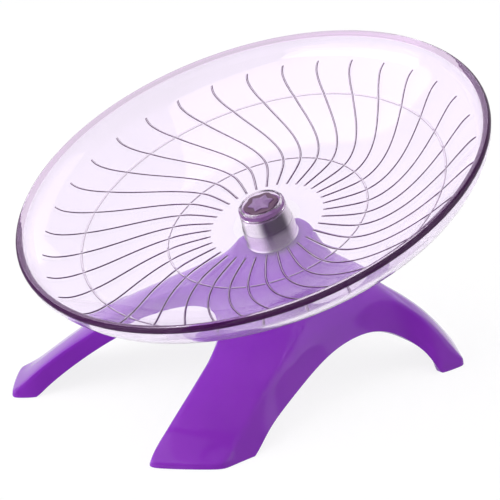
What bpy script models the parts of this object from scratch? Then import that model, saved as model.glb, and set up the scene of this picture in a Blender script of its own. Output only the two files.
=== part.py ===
# Hamster exercise wheel: a clear saucer that spins on a tilted post above a four-legged stand.
# Metres, +Z up. The origin is on the ground, under the middle of the rim.
# The saucer leans towards -Y, and the stand is the same on its -X and +X sides.

import math

import bmesh
import bpy
from mathutils import Matrix, Vector

# Fits
GAP = 0.0003                      # clearance kept between pieces that touch
OVERRUN = 0.002                   # how far a cutter runs past what it cuts

# Spin axis
TILT = math.radians(23.9)         # lean of the axis from the vertical
FLOOR_HEIGHT = 0.0557             # ground to the saucer's floor, on the axis
STAND_SETBACK = -0.00225          # middle of the feet, along Y from the origin

# Saucer
RIM_RADIUS = 0.0900
SAUCER_WALL = 0.0020
LIP_RADIUS = 0.0019               # rolled bead round the rim
FLAT_RADIUS = 0.0385              # where the floor starts to rise; also the inner ring line
RING_RADIUS = 0.0694              # outer ring line
RIB_START_RADIUS = 0.0223
RIB_MARGIN = 0.0061               # from the ribs' outer ends to the middle of the bead
UNDERSIDE_END_SHARE = 0.965       # of the bead's radius, where the underside meets the bead
BOWL_RISE = 0.0201                # rise of the bowl's long curve
RIM_FLARE = 0.0045                # extra rise of the steep outer band
BOWL_POWER = 1.83
RIB_COUNT = 34
RIB_WIDTH = 0.0009
RIB_HEIGHT = 0.0004
RIB_PHASE_SHARE = 0.56            # of the pitch, from the +X side to the first rib's inner end
SWIRL_ANGLE = math.radians(24.3)  # how far a rib turns on its way out
SWIRL_START_RADIUS = 0.0340
HOOK_ANGLE = math.radians(1.0)    # how far its last stretch turns back
HOOK_LENGTH = 0.0040

# Hub
BOSS_TOP = 0.0079                 # above the floor
BOSS_TOP_RADIUS = 0.0085
BOSS_DRAFT = 0.0008
BOSS_FILLET = 0.0012
SKIRT_DEPTH = 0.0083              # below the floor
SLEEVE_WALL = 0.0008
SLEEVE_SHOULDER = 0.0011          # step between the two bearing seats
FLANGE_RADIUS = 0.0100
FLANGE_THICKNESS = 0.0012
CAP_THICKNESS = 0.0008
CAP_RECESS = 0.0012               # lobed face below the rim of the boss
CAP_LOBES = 6
CAP_LOBE_DEPTH = 0.0008
STAR_RADIUS = 0.0046
STAR_POINT_DEPTH = 0.0012
STAR_HEIGHT = 0.0010
CAP_SKIRT_WALL = 0.0009

# Ball bearings
BEARING_RADIUS = 0.0060
BEARING_BORE_RADIUS = 0.0030
BEARING_WIDTH = 0.0040
BALL_RADIUS = 0.00075
BALL_COUNT = 7
RACE_GROOVE = 0.00045             # depth of a race's groove
SHIELD_THICKNESS = 0.00025
CAGE_WALL = 0.0006
CAGE_BACK = 0.0004                # thickness of the cage's ring beside the balls
CAGE_DRAFT = 0.00005              # how far each side of a prong leans in towards its top

# Post
COLLAR_RADIUS = 0.0040
COLLAR_THICKNESS = 0.0005
SPACER_WALL = 0.0008
SPACER_LENGTH = 0.0042
SCREW_RADIUS = 0.0010
SCREW_LENGTH = 0.0045
SCREW_HEAD_RADIUS = 0.0022
SCREW_HEAD_HEIGHT = 0.0010
SCREW_SOCKET_RADIUS = 0.0011
SCREW_SOCKET_DEPTH = 0.0006
WASHER_THICKNESS = 0.0005
NUT_FLATS = 0.0080                # across flats
NUT_THICKNESS = 0.0032
NUT_WASHER_RADIUS = 0.0050
THREAD_END = 0.0008               # of the post beyond the nut

# Stand
PLATEAU_DROP = 0.0105             # floor of the saucer to the stand's round top face
PLATEAU_RADIUS = 0.0152
PEDESTAL_FLARE = 0.0060           # how much wider the pedestal is at its root
STAND_WALL = 0.0024
STAND_REACH = 0.0985              # the length that the shares below are shares of
EMBED = 0.0012                    # how far the feet are drawn below ground before they are trimmed
PEDESTAL_ROOT_HEIGHT = 0.0372     # where the pedestal meets the dome, at the hub's middle
PEDESTAL_ROOT_SLOPE = 0.12        # rise of that line towards the back
LEG_BULGE = 0.0016                # how far the middle of a leg's top stands above a straight line
POST_BOSS_RADIUS = 0.0065
POST_BOSS_LENGTH = 0.0120         # below the round top face

# Facets
RACE_SEGMENTS = 14
TURNED_SEGMENTS = 20

# The stand's edges from the middle of its front to the middle of its back, on the +X side.
# Each station has its lower edge, then its upper edge, as shares of STAND_REACH.
STATION_SHARES = (
    ((0.000, -0.170, 0.279), (0.000, -0.155, 0.332)),
    ((0.100, -0.210, 0.268), (0.110, -0.195, 0.320)),
    ((0.180, -0.307, 0.229), (0.200, -0.295, 0.284)),
    ((0.240, -0.421, 0.174), (0.263, -0.415, 0.234)),
    ((0.280, -0.517, 0.123), (0.302, -0.525, 0.184)),
    ((0.310, -0.610, 0.070), (0.334, -0.625, 0.134)),
    ((0.328, -0.690, 0.022), (0.356, -0.705, 0.086)),
    ((0.324, -0.748, 0.000), (0.368, -0.752, 0.054)),
    ((0.386, -0.806, 0.000), (0.387, -0.801, 0.016)),
    ((0.486, -0.721, 0.000), (0.482, -0.715, 0.018)),
    ((0.574, -0.632, 0.000), (0.567, -0.625, 0.016)),
    ((0.577, -0.560, 0.000), (0.543, -0.566, 0.034)),
    ((0.577, -0.494, 0.000), (0.519, -0.492, 0.082)),
    ((0.540, -0.395, 0.056), (0.489, -0.400, 0.134)),
    ((0.505, -0.285, 0.089), (0.460, -0.310, 0.185)),
    ((0.470, -0.170, 0.119), (0.430, -0.180, 0.223)),
    ((0.430, -0.030, 0.156), (0.390, -0.050, 0.243)),
    ((0.405, 0.104, 0.184), (0.367, 0.080, 0.258)),
    ((0.400, 0.240, 0.194), (0.360, 0.220, 0.263)),
    ((0.405, 0.340, 0.177), (0.366, 0.330, 0.278)),
    ((0.425, 0.415, 0.142), (0.380, 0.410, 0.282)),
    ((0.465, 0.483, 0.088), (0.420, 0.470, 0.234)),
    ((0.515, 0.495, 0.055), (0.460, 0.515, 0.192)),
    ((0.569, 0.505, 0.000), (0.500, 0.560, 0.133)),
    ((0.576, 0.570, 0.000), (0.532, 0.600, 0.069)),
    ((0.575, 0.634, 0.000), (0.570, 0.632, 0.017)),
    ((0.481, 0.712, 0.000), (0.477, 0.706, 0.013)),
    ((0.392, 0.778, 0.000), (0.394, 0.772, 0.013)),
    ((0.335, 0.738, 0.000), (0.370, 0.726, 0.076)),
    ((0.326, 0.695, 0.030), (0.355, 0.675, 0.130)),
    ((0.310, 0.635, 0.095), (0.340, 0.625, 0.180)),
    ((0.285, 0.560, 0.165), (0.310, 0.540, 0.249)),
    ((0.240, 0.495, 0.230), (0.275, 0.480, 0.292)),
    ((0.165, 0.460, 0.270), (0.185, 0.443, 0.318)),
    ((0.000, 0.445, 0.290), (0.000, 0.430, 0.345)),
)
# Stations on the two sides of each leg, front then back: its toe, then pairs towards the dome.
LEG_STATIONS = (
    ((8, 9, 10), ((7, 11), (6, 12), (5, 13), (4, 14), (3, 15))),
    ((27, 26, 25), ((28, 24), (29, 23), (30, 22), (31, 21), (32, 20))),
)
# How sharp the stand's edges stay when its faces are smoothed: 1 is fully sharp.
LEG_EDGE_SHARE = 1.0
DOME_EDGE_SHARE = 0.6
TOE_CORNER_SHARE = 0.7

# Worked-out places, as heights on the spin axis above the saucer's floor
BOSS_BORE_RADIUS = BEARING_RADIUS + SLEEVE_WALL + 2 * GAP
SLEEVE_RADIUS = BEARING_RADIUS + SLEEVE_WALL + GAP
SLEEVE_BORE_RADIUS = BEARING_RADIUS + GAP
CAP_FACE = BOSS_TOP - CAP_RECESS
CAP_UNDER = CAP_FACE - CAP_THICKNESS
SLEEVE_TOP = CAP_UNDER - GAP
FLANGE_TOP = -SKIRT_DEPTH - GAP
SLEEVE_BOTTOM = FLANGE_TOP - FLANGE_THICKNESS
SPINDLE_RADIUS = BEARING_BORE_RADIUS - GAP
COLLAR_BOTTOM = -PLATEAU_DROP + GAP
LOWER_BEARING = COLLAR_BOTTOM + COLLAR_THICKNESS + GAP
SPACER_BOTTOM = LOWER_BEARING + BEARING_WIDTH + GAP
UPPER_BEARING = SPACER_BOTTOM + SPACER_LENGTH + GAP
WASHER_BOTTOM = UPPER_BEARING + BEARING_WIDTH + GAP
SPINDLE_TOP = WASHER_BOTTOM - GAP
SCREW_HEAD_BOTTOM = WASHER_BOTTOM + WASHER_THICKNESS + GAP
BOSS_FOOT = -PLATEAU_DROP - POST_BOSS_LENGTH
NUT_WASHER_TOP = BOSS_FOOT - GAP
NUT_TOP = NUT_WASHER_TOP - WASHER_THICKNESS - GAP
SPINDLE_BOTTOM = NUT_TOP - NUT_THICKNESS - THREAD_END
BALL_PITCH_RADIUS = (BEARING_RADIUS + BEARING_BORE_RADIUS) / 2
RIB_PITCH = 2 * math.pi / RIB_COUNT
RIB_PHASE = RIB_PHASE_SHARE * RIB_PITCH
CURVE_RADIUS = RIM_RADIUS - LIP_RADIUS      # where the bowl's curve meets the middle of the bead
RIB_END_RADIUS = CURVE_RADIUS - RIB_MARGIN


def reset_scene():
    for obj in list(bpy.data.objects):
        bpy.data.objects.remove(obj, do_unlink=True)


def make_collection(name):
    collection = bpy.data.collections.new(name)
    bpy.context.scene.collection.children.link(collection)
    return collection


def plastic(name, colour, roughness, metallic=0.0, transmission=0.0):
    material = bpy.data.materials.new(name)
    material.use_nodes = True
    shader = material.node_tree.nodes["Principled BSDF"]
    shader.inputs["Base Color"].default_value = (*colour, 1.0)
    shader.inputs["Roughness"].default_value = roughness
    shader.inputs["Metallic"].default_value = metallic
    shader.inputs["Transmission Weight"].default_value = transmission
    material.diffuse_color = (*colour, 1.0)
    return material


def add_object(name, mesh, material, parent=None, height=0.0):
    obj = bpy.data.objects.new(name, mesh)
    PARTS.objects.link(obj)
    mesh.materials.append(material)
    if parent is not None:
        obj.parent = parent
        obj.location.z = height
    return obj


def smooth(mesh):
    mesh.shade_smooth()
    mesh.set_sharp_from_angle(angle=math.radians(35))


def turned(name, profile, material, parent, height=0.0, segments=TURNED_SEGMENTS, closed=True):
    """A turned solid. The profile of (radius, height) runs down its outer side."""
    count = len(profile)
    edges = [(i, i + 1) for i in range(count - 1)]
    if closed:
        edges.append((count - 1, 0))
    mesh = bpy.data.meshes.new(name)
    mesh.from_pydata([(radius, 0.0, z) for radius, z in profile], edges, [])
    obj = add_object(name, mesh, material, parent, height)
    screw = obj.modifiers.new("turn", "SCREW")
    screw.steps = segments
    screw.render_steps = segments
    screw.use_merge_vertices = True
    screw.merge_threshold = 0.00001
    screw.use_smooth_shade = True
    return obj


def bridge(bm, first, second):
    """Faces between two rings, also where one has more points than the other."""
    a_count, b_count = len(first), len(second)
    if a_count == b_count:
        for i in range(a_count):
            j = (i + 1) % a_count
            bm.faces.new((first[i], first[j], second[j], second[i]))
        return
    i = j = 0
    while i < a_count or j < b_count:
        a, b = first[i % a_count], second[j % b_count]
        if j >= b_count or (i < a_count and (i + 1) * b_count <= (j + 1) * a_count):
            bm.faces.new((a, first[(i + 1) % a_count], b))
            i += 1
        else:
            bm.faces.new((a, second[(j + 1) % b_count], b))
            j += 1


def loft(name, rings, material, parent=None, height=0.0, closed=False):
    """A solid through rings of points. A closed one runs from its last ring to its first."""
    bm = bmesh.new()
    loops = [[bm.verts.new(point) for point in ring] for ring in rings]
    for first, second in zip(loops, loops[1:]):
        bridge(bm, first, second)
    if closed:
        bridge(bm, loops[-1], loops[0])
    else:
        bm.faces.new(loops[0])
        bm.faces.new(loops[-1])
    bmesh.ops.recalc_face_normals(bm, faces=bm.faces)
    mesh = bpy.data.meshes.new(name)
    bm.to_mesh(mesh)
    bm.free()
    smooth(mesh)
    return add_object(name, mesh, material, parent, height)


def around(radius_at, z, count):
    """A ring of points whose radius is a function of the angle."""
    angles = [2 * math.pi * i / count for i in range(count)]
    return [(radius_at(a) * math.cos(a), radius_at(a) * math.sin(a), z) for a in angles]


def bowl_height(radius):
    """Height of the saucer's inner surface above its floor."""
    if radius <= FLAT_RADIUS:
        return 0.0
    share = (radius - FLAT_RADIUS) / (CURVE_RADIUS - FLAT_RADIUS)
    height = BOWL_RISE * share ** BOWL_POWER
    if radius > RIB_END_RADIUS:
        height += RIM_FLARE * ((radius - RIB_END_RADIUS) / (CURVE_RADIUS - RIB_END_RADIUS)) ** 2
    return height


def swirl(radius):
    """Angle that a rib has turned through by this radius: an S, hooked at its end."""
    share = (radius - SWIRL_START_RADIUS) / (RIB_END_RADIUS - SWIRL_START_RADIUS)
    share = min(max(share, 0.0), 1.0)
    hook = max(0.0, (radius - RIB_END_RADIUS + HOOK_LENGTH) / HOOK_LENGTH)
    return SWIRL_ANGLE * share * share * (3 - 2 * share) - HOOK_ANGLE * min(hook, 1.0) ** 2


def ribbed_ring(radius, rib_lift, ring_lift):
    """One ring of the running surface: each rib's two edges and crest, and the middle between."""
    edge = RIB_WIDTH / 2 / radius
    base = bowl_height(radius)
    ring = []
    for k in range(RIB_COUNT):
        centre = RIB_PHASE + k * RIB_PITCH + swirl(radius)
        for offset, lift in ((-edge, ring_lift), (0.0, max(rib_lift, ring_lift)),
                             (edge, ring_lift), (RIB_PITCH / 2, ring_lift)):
            angle = centre + offset
            ring.append((radius * math.cos(angle), radius * math.sin(angle), base + lift))
    return ring


def plain_ring(radius, z, per_pitch, turn=0.0):
    count = RIB_COUNT * per_pitch
    angles = [RIB_PHASE + turn + 2 * math.pi * i / count for i in range(count)]
    return [(radius * math.cos(a), radius * math.sin(a), z) for a in angles]


def running_surface_rings():
    """From the ribs' inner ends out to their hooked outer ends."""
    line = RIB_WIDTH / 2
    rings = [ribbed_ring(RIB_START_RADIUS, 0.0, 0.0),
             ribbed_ring(RIB_START_RADIUS + RIB_WIDTH, RIB_HEIGHT, 0.0)]
    stops = (RIB_START_RADIUS + RIB_WIDTH, FLAT_RADIUS, RING_RADIUS, RIB_END_RADIUS - RIB_WIDTH)
    for span, steps in enumerate((1, 4, 2)):
        start, end = stops[span], stops[span + 1]
        for step in range(1, steps):
            radius = start + (end - start) * step / steps
            rings.append(ribbed_ring(radius, RIB_HEIGHT, 0.0))
        if end == FLAT_RADIUS or end == RING_RADIUS:
            rings.append(ribbed_ring(end - line, RIB_HEIGHT, 0.0))
            rings.append(ribbed_ring(end, RIB_HEIGHT, RIB_HEIGHT))
            rings.append(ribbed_ring(end + line, RIB_HEIGHT, 0.0))
        else:
            rings.append(ribbed_ring(end, RIB_HEIGHT, 0.0))
    rings.append(ribbed_ring(RIB_END_RADIUS, 0.0, 0.0))
    return rings


def lip_rings(turn):
    """The steep outer band and the bead round the rim, from inside to outside."""
    middle = bowl_height(CURVE_RADIUS)
    halfway = (RIB_END_RADIUS + CURVE_RADIUS - LIP_RADIUS) / 2
    rings = [plain_ring(halfway, bowl_height(halfway), 2, turn)]
    for degrees in (190, 135, 90, 45, 0, -45, -90):
        angle = math.radians(degrees)
        rings.append(plain_ring(CURVE_RADIUS + LIP_RADIUS * math.cos(angle),
                                middle + LIP_RADIUS * math.sin(angle), 2, turn))
    return rings


def underside_rings():
    """The saucer's underside, one wall below its inner surface, from the rim inwards."""
    rings = []
    for radius in (UNDERSIDE_END_SHARE * CURVE_RADIUS, RIB_END_RADIUS, (RIB_END_RADIUS + RING_RADIUS) / 2,
                   RING_RADIUS, (RING_RADIUS + FLAT_RADIUS) / 2, FLAT_RADIUS):
        step = RIB_WIDTH
        slope = (bowl_height(radius + step) - bowl_height(radius - step)) / (2 * step)
        length = math.hypot(slope, 1.0)
        rings.append(plain_ring(radius + SAUCER_WALL * slope / length,
                                bowl_height(radius) - SAUCER_WALL / length, 2, swirl(radius)))
    rings.append(plain_ring(RIB_START_RADIUS, -SAUCER_WALL, 1))
    return rings


def hub_rings():
    """The boss that the sleeve sits in: skirt, bore and tapered wall, from below to above."""
    base_radius = BOSS_TOP_RADIUS + BOSS_DRAFT
    return [
        plain_ring(base_radius + BOSS_FILLET, -SAUCER_WALL, 1),
        plain_ring(base_radius, -SAUCER_WALL - BOSS_FILLET, 1),
        plain_ring(BOSS_TOP_RADIUS, -SKIRT_DEPTH, 1),
        plain_ring(BOSS_BORE_RADIUS, -SKIRT_DEPTH, 1),
        plain_ring(BOSS_BORE_RADIUS, BOSS_TOP, 1),
        plain_ring(BOSS_TOP_RADIUS, BOSS_TOP, 1),
        plain_ring(base_radius, BOSS_FILLET, 1),
        plain_ring(base_radius + BOSS_FILLET, 0.0, 1),
        plain_ring(RIB_START_RADIUS - RIB_WIDTH, 0.0, 1),
    ]


def make_saucer(material, axis):
    turn = swirl(RIB_END_RADIUS)
    rings = running_surface_rings() + lip_rings(turn) + underside_rings() + hub_rings()
    return loft("saucer", rings, material, axis, closed=True)


def make_sleeve(material, axis):
    """Metal sleeve with a flange below and a seat for each bearing."""
    shoulder_radius = SLEEVE_BORE_RADIUS - SLEEVE_SHOULDER
    lower = LOWER_BEARING + BEARING_WIDTH + GAP
    upper = UPPER_BEARING - GAP
    profile = [
        (SLEEVE_RADIUS, SLEEVE_TOP), (SLEEVE_RADIUS, FLANGE_TOP), (FLANGE_RADIUS, FLANGE_TOP),
        (FLANGE_RADIUS, SLEEVE_BOTTOM), (SLEEVE_BORE_RADIUS, SLEEVE_BOTTOM),
        (SLEEVE_BORE_RADIUS, lower), (shoulder_radius, lower), (shoulder_radius, upper),
        (SLEEVE_BORE_RADIUS, upper), (SLEEVE_BORE_RADIUS, SLEEVE_TOP),
    ]
    turned("bearing_sleeve", profile, material, axis)


def make_cap(material, axis):
    """Cap with a lobed face and a raised star, on a round skirt that holds the upper bearing."""
    count = 6 * CAP_LOBES
    skirt = SLEEVE_BORE_RADIUS - GAP
    cavity = skirt - CAP_SKIRT_WALL
    skirt_bottom = UPPER_BEARING + BEARING_WIDTH + GAP
    face_radius = BOSS_BORE_RADIUS - GAP

    def lobed(angle):
        return face_radius - CAP_LOBE_DEPTH * (1 - math.cos(CAP_LOBES * angle)) / 2

    def star(angle):
        return STAR_RADIUS - STAR_POINT_DEPTH * (1 - math.cos(CAP_LOBES * angle)) / 2

    rings = [
        around(lambda a: cavity, CAP_UNDER, count),
        around(lambda a: cavity, skirt_bottom, count),
        around(lambda a: skirt, skirt_bottom, count),
        around(lambda a: skirt, CAP_UNDER, count),
        around(lobed, CAP_UNDER, count),
        around(lobed, CAP_FACE, count),
        around(star, CAP_FACE, count),
        around(star, CAP_FACE + STAR_HEIGHT, count),
    ]
    loft("hub_cap", rings, material, axis)


def make_bearing(prefix, base, steel, brass, axis):
    """A shielded ball bearing. Its balls run in grooves of the two races."""
    middle = base + BEARING_WIDTH / 2
    half = BEARING_WIDTH / 2
    land = BALL_PITCH_RADIUS + BALL_RADIUS + GAP - RACE_GROOVE
    step = BALL_RADIUS
    outer = [
        (BEARING_RADIUS, half), (BEARING_RADIUS, -half), (land, -half), (land, -step),
        (land + RACE_GROOVE, -step / 2), (land + RACE_GROOVE, step / 2), (land, step), (land, half),
    ]
    turned(prefix + "_outer_race", outer, steel, axis, middle, RACE_SEGMENTS)
    inner_land = BALL_PITCH_RADIUS - BALL_RADIUS - GAP + RACE_GROOVE
    inner = [
        (inner_land, half), (inner_land, step), (inner_land - RACE_GROOVE, step / 2),
        (inner_land - RACE_GROOVE, -step / 2), (inner_land, -step), (inner_land, -half),
        (BEARING_BORE_RADIUS, -half), (BEARING_BORE_RADIUS, half),
    ]
    turned(prefix + "_inner_race", inner, steel, axis, middle, RACE_SEGMENTS)
    make_balls(prefix + "_ball", middle, steel, axis)
    make_cage(prefix + "_cage", middle, brass, axis)
    for end, side in (("_upper_shield", 1), ("_lower_shield", -1)):
        top = side * (half - SHIELD_THICKNESS) + SHIELD_THICKNESS / 2
        ring = [(land - GAP, top), (land - GAP, top - SHIELD_THICKNESS),
                (inner_land + GAP, top - SHIELD_THICKNESS), (inner_land + GAP, top)]
        turned(prefix + end, ring, steel, axis, middle, RACE_SEGMENTS)


def make_balls(prefix, height, material, axis):
    bm = bmesh.new()
    bmesh.ops.create_icosphere(bm, subdivisions=2, radius=BALL_RADIUS)
    mesh = bpy.data.meshes.new(prefix)
    bm.to_mesh(mesh)
    bm.free()
    mesh.shade_smooth()
    mesh.materials.append(material)
    for k in range(BALL_COUNT):
        angle = 2 * math.pi * k / BALL_COUNT
        ball = bpy.data.objects.new(prefix + "_" + str(k + 1), mesh)
        PARTS.objects.link(ball)
        ball.parent = axis
        ball.location = (BALL_PITCH_RADIUS * math.cos(angle), BALL_PITCH_RADIUS * math.sin(angle), height)


def make_cage(name, height, material, axis):
    """Crown cage: a ring under the balls with a prong that stands up between each two."""
    ring_top = -BALL_RADIUS - GAP
    ring_bottom = ring_top - CAGE_BACK
    inner = BALL_PITCH_RADIUS - CAGE_WALL / 2
    outer = BALL_PITCH_RADIUS + CAGE_WALL / 2
    pocket = (BALL_RADIUS + GAP) / BALL_PITCH_RADIUS
    prong = pocket + CAGE_DRAFT / BALL_PITCH_RADIUS
    pitch = 2 * math.pi / BALL_COUNT
    stops = []
    for k in range(BALL_COUNT):
        ball = k * pitch
        stops += [(ball - pocket, ring_top), (ball + pocket, ring_top),
                  (ball + prong, BALL_RADIUS), (ball + pitch - prong, BALL_RADIUS)]

    def bottom(radius):
        return [(radius * math.cos(a), radius * math.sin(a), ring_bottom) for a, z in stops]

    def crown(radius):
        return [(radius * math.cos(a), radius * math.sin(a), z) for a, z in stops]

    rings = [bottom(inner), bottom(outer), crown(outer), crown(inner)]
    loft(name, rings, material, axis, height, closed=True)


def make_post(steel, axis):
    """The steel post, what clamps the bearings on it and what clamps it in the stand."""
    bore = SCREW_RADIUS + GAP
    turned("spindle", [
        (0.0, SPINDLE_TOP - SCREW_LENGTH), (bore, SPINDLE_TOP - SCREW_LENGTH), (bore, SPINDLE_TOP),
        (SPINDLE_RADIUS, SPINDLE_TOP), (SPINDLE_RADIUS, COLLAR_BOTTOM + COLLAR_THICKNESS),
        (COLLAR_RADIUS, COLLAR_BOTTOM + COLLAR_THICKNESS), (COLLAR_RADIUS, COLLAR_BOTTOM),
        (SPINDLE_RADIUS, COLLAR_BOTTOM), (SPINDLE_RADIUS, SPINDLE_BOTTOM), (0.0, SPINDLE_BOTTOM),
    ], steel, axis, closed=False)
    turned("race_spacer", [
        (BEARING_BORE_RADIUS + SPACER_WALL, SPACER_LENGTH), (BEARING_BORE_RADIUS + SPACER_WALL, 0.0),
        (BEARING_BORE_RADIUS, 0.0), (BEARING_BORE_RADIUS, SPACER_LENGTH),
    ], steel, axis, SPACER_BOTTOM)
    turned("retaining_washer", [
        (COLLAR_RADIUS, WASHER_THICKNESS), (COLLAR_RADIUS, 0.0), (bore, 0.0), (bore, WASHER_THICKNESS),
    ], steel, axis, WASHER_BOTTOM)
    turned("retaining_screw", [
        (0.0, SCREW_HEAD_HEIGHT - SCREW_SOCKET_DEPTH),
        (SCREW_SOCKET_RADIUS, SCREW_HEAD_HEIGHT - SCREW_SOCKET_DEPTH),
        (SCREW_SOCKET_RADIUS, SCREW_HEAD_HEIGHT), (SCREW_HEAD_RADIUS - GAP, SCREW_HEAD_HEIGHT),
        (SCREW_HEAD_RADIUS, SCREW_HEAD_HEIGHT - GAP), (SCREW_HEAD_RADIUS, 0.0), (SCREW_RADIUS, 0.0),
        (SCREW_RADIUS, GAP - SCREW_LENGTH), (0.0, GAP - SCREW_LENGTH),
    ], steel, axis, SCREW_HEAD_BOTTOM, RACE_SEGMENTS, closed=False)
    turned("nut_washer", [
        (NUT_WASHER_RADIUS, 0.0), (NUT_WASHER_RADIUS, -WASHER_THICKNESS),
        (BEARING_BORE_RADIUS, -WASHER_THICKNESS), (BEARING_BORE_RADIUS, 0.0),
    ], steel, axis, NUT_WASHER_TOP)
    make_nut(steel, axis)


def make_nut(material, axis):
    """A hexagon with a round bore."""
    corner = NUT_FLATS / 2 / math.cos(math.pi / 6)
    rings = [
        around(lambda angle: corner, 0.0, 6),
        around(lambda angle: corner, -NUT_THICKNESS, 6),
        around(lambda angle: BEARING_BORE_RADIUS, -NUT_THICKNESS, 18),
        around(lambda angle: BEARING_BORE_RADIUS, 0.0, 18),
    ]
    loft("spindle_nut", rings, material, axis, NUT_TOP, closed=True)


def place(shares, setback):
    """A point of the stand. What stands on the ground is drawn on below it."""
    point = Vector(shares) * STAND_REACH
    if shares[2] == 0:
        point.z = -EMBED
    point.y += setback
    return point


def make_stand(material, axis_matrix):
    """A hollow moulding: a pedestal on a dome, with four legs and an arch between each two.

    The half on the +X side is a cage of faces: wall, tops of two legs, dome, pedestal, top face.
    """
    normal = (axis_matrix.to_3x3() @ Vector((0, 0, 1))).normalized()
    centre = axis_matrix @ Vector((0, 0, -PLATEAU_DROP))
    bm = bmesh.new()
    low = [bm.verts.new(place(shares[0], STAND_SETBACK)) for shares in STATION_SHARES]
    high = [bm.verts.new(place(shares[1], STAND_SETBACK)) for shares in STATION_SHARES]
    for i in range(len(low) - 1):
        bm.faces.new((low[i], low[i + 1], high[i + 1], high[i]))

    necks = []
    for toe, pairs in LEG_STATIONS:
        across = [high[i] for i in toe]
        for first, second in pairs:
            middle = bm.verts.new((high[first].co + high[second].co) / 2 + Vector((0, 0, LEG_BULGE)))
            row = [high[first], middle, high[second]]
            bm.faces.new((across[0], across[1], row[1], row[0]))
            bm.faces.new((across[1], across[2], row[2], row[1]))
            across = row
        necks.append(across)
    front, back = necks
    dome = high[:high.index(front[0])] + front
    dome += high[high.index(front[2]) + 1:high.index(back[2])] + back[::-1]
    dome += high[high.index(back[0]) + 1:]

    count = len(dome) - 1
    plateau, root, slope = [], [], []
    for i, edge in enumerate(dome):
        turn = math.pi * i / count - math.pi / 2
        plan = Vector((math.cos(turn), math.sin(turn), 0.0))
        if 0 < i < count:
            aim = Vector((edge.co.x - centre.x, edge.co.y - centre.y, 0.0)).normalized()
            plan = (plan + aim).normalized()
        else:
            plan.x = 0.0
        on_plane = (plan - normal * plan.dot(normal)).normalized()
        plateau.append(bm.verts.new(centre + on_plane * PLATEAU_RADIUS))
        foot = centre + plan * (PLATEAU_RADIUS + PEDESTAL_FLARE)
        foot.z = PEDESTAL_ROOT_HEIGHT + PEDESTAL_ROOT_SLOPE * (foot.y - centre.y)
        root.append(bm.verts.new(foot))
        slope.append(bm.verts.new((foot + edge.co) / 2 + Vector((0, 0, LEG_BULGE))))
    for inner, outer in ((plateau, root), (root, slope), (slope, dome)):
        for i in range(count):
            bm.faces.new((inner[i], outer[i], outer[i + 1], inner[i + 1]))
    bm.faces.new(plateau)

    set_sharpness(bm, low, high, plateau)
    bmesh.ops.recalc_face_normals(bm, faces=bm.faces)
    bm.faces.ensure_lookup_table()
    if bm.faces[-1].normal.z < 0:
        bmesh.ops.reverse_faces(bm, faces=bm.faces)
    mesh = bpy.data.meshes.new("stand")
    bm.to_mesh(mesh)
    bm.free()
    mesh.shade_smooth()
    obj = add_object("stand", mesh, material)
    mirror = obj.modifiers.new("other_half", "MIRROR")
    mirror.use_clip = True
    mirror.merge_threshold = 0.00001
    subdivide = obj.modifiers.new("smooth", "SUBSURF")
    subdivide.levels = 1
    subdivide.render_levels = 1
    wall = obj.modifiers.new("wall", "SOLIDIFY")
    wall.thickness = STAND_WALL
    wall.offset = -1.0
    wall.use_even_offset = True
    return obj


def set_sharpness(bm, low, high, plateau):
    """How much of each edge is kept when the cage is smoothed. Full edges are also drawn sharp."""
    sharpness = bm.edges.layers.float.new("crease_edge")
    on_legs = set()
    for toe, pairs in LEG_STATIONS:
        stations = set(toe).union(*pairs)
        on_legs |= {(i, i + 1) for i in stations if i + 1 in stations}
        for corner in (toe[0], toe[-1]):
            bm.edges.get((low[corner], high[corner]))[sharpness] = TOE_CORNER_SHARE
    for i in range(len(high) - 1):
        edge = bm.edges.get((high[i], high[i + 1]))
        edge[sharpness] = LEG_EDGE_SHARE if (i, i + 1) in on_legs else DOME_EDGE_SHARE
        edge.smooth = (i, i + 1) not in on_legs
    for first, second in zip(plateau, plateau[1:]):
        edge = bm.edges.get((first, second))
        edge[sharpness] = LEG_EDGE_SHARE
        edge.smooth = False


def ground_block(name):
    """What trims the feet level with the ground."""
    bm = bmesh.new()
    size = 2 * STAND_REACH
    bmesh.ops.create_cube(bm, size=size, matrix=Matrix.Translation((0, 0, -size / 2)))
    return cutter(name, bm)


def cylinder(name, radius, top, bottom, axis, segments=TURNED_SEGMENTS):
    """A cutter or a block to join, on the spin axis."""
    bm = bmesh.new()
    bmesh.ops.create_cone(bm, cap_ends=True, segments=segments, radius1=radius, radius2=radius,
                          depth=top - bottom, matrix=Matrix.Translation((0, 0, (top + bottom) / 2)))
    return cutter(name, bm, axis)


def cutter(name, bm, parent=None):
    mesh = bpy.data.meshes.new(name)
    bm.to_mesh(mesh)
    bm.free()
    obj = bpy.data.objects.new(name, mesh)
    CUTTERS.objects.link(obj)
    obj.parent = parent
    obj.hide_render = True
    obj.display_type = "WIRE"
    return obj


def add_boolean(obj, other, operation):
    modifier = obj.modifiers.new(other.name, "BOOLEAN")
    modifier.operation = operation
    modifier.solver = "EXACT"
    modifier.object = other


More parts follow.
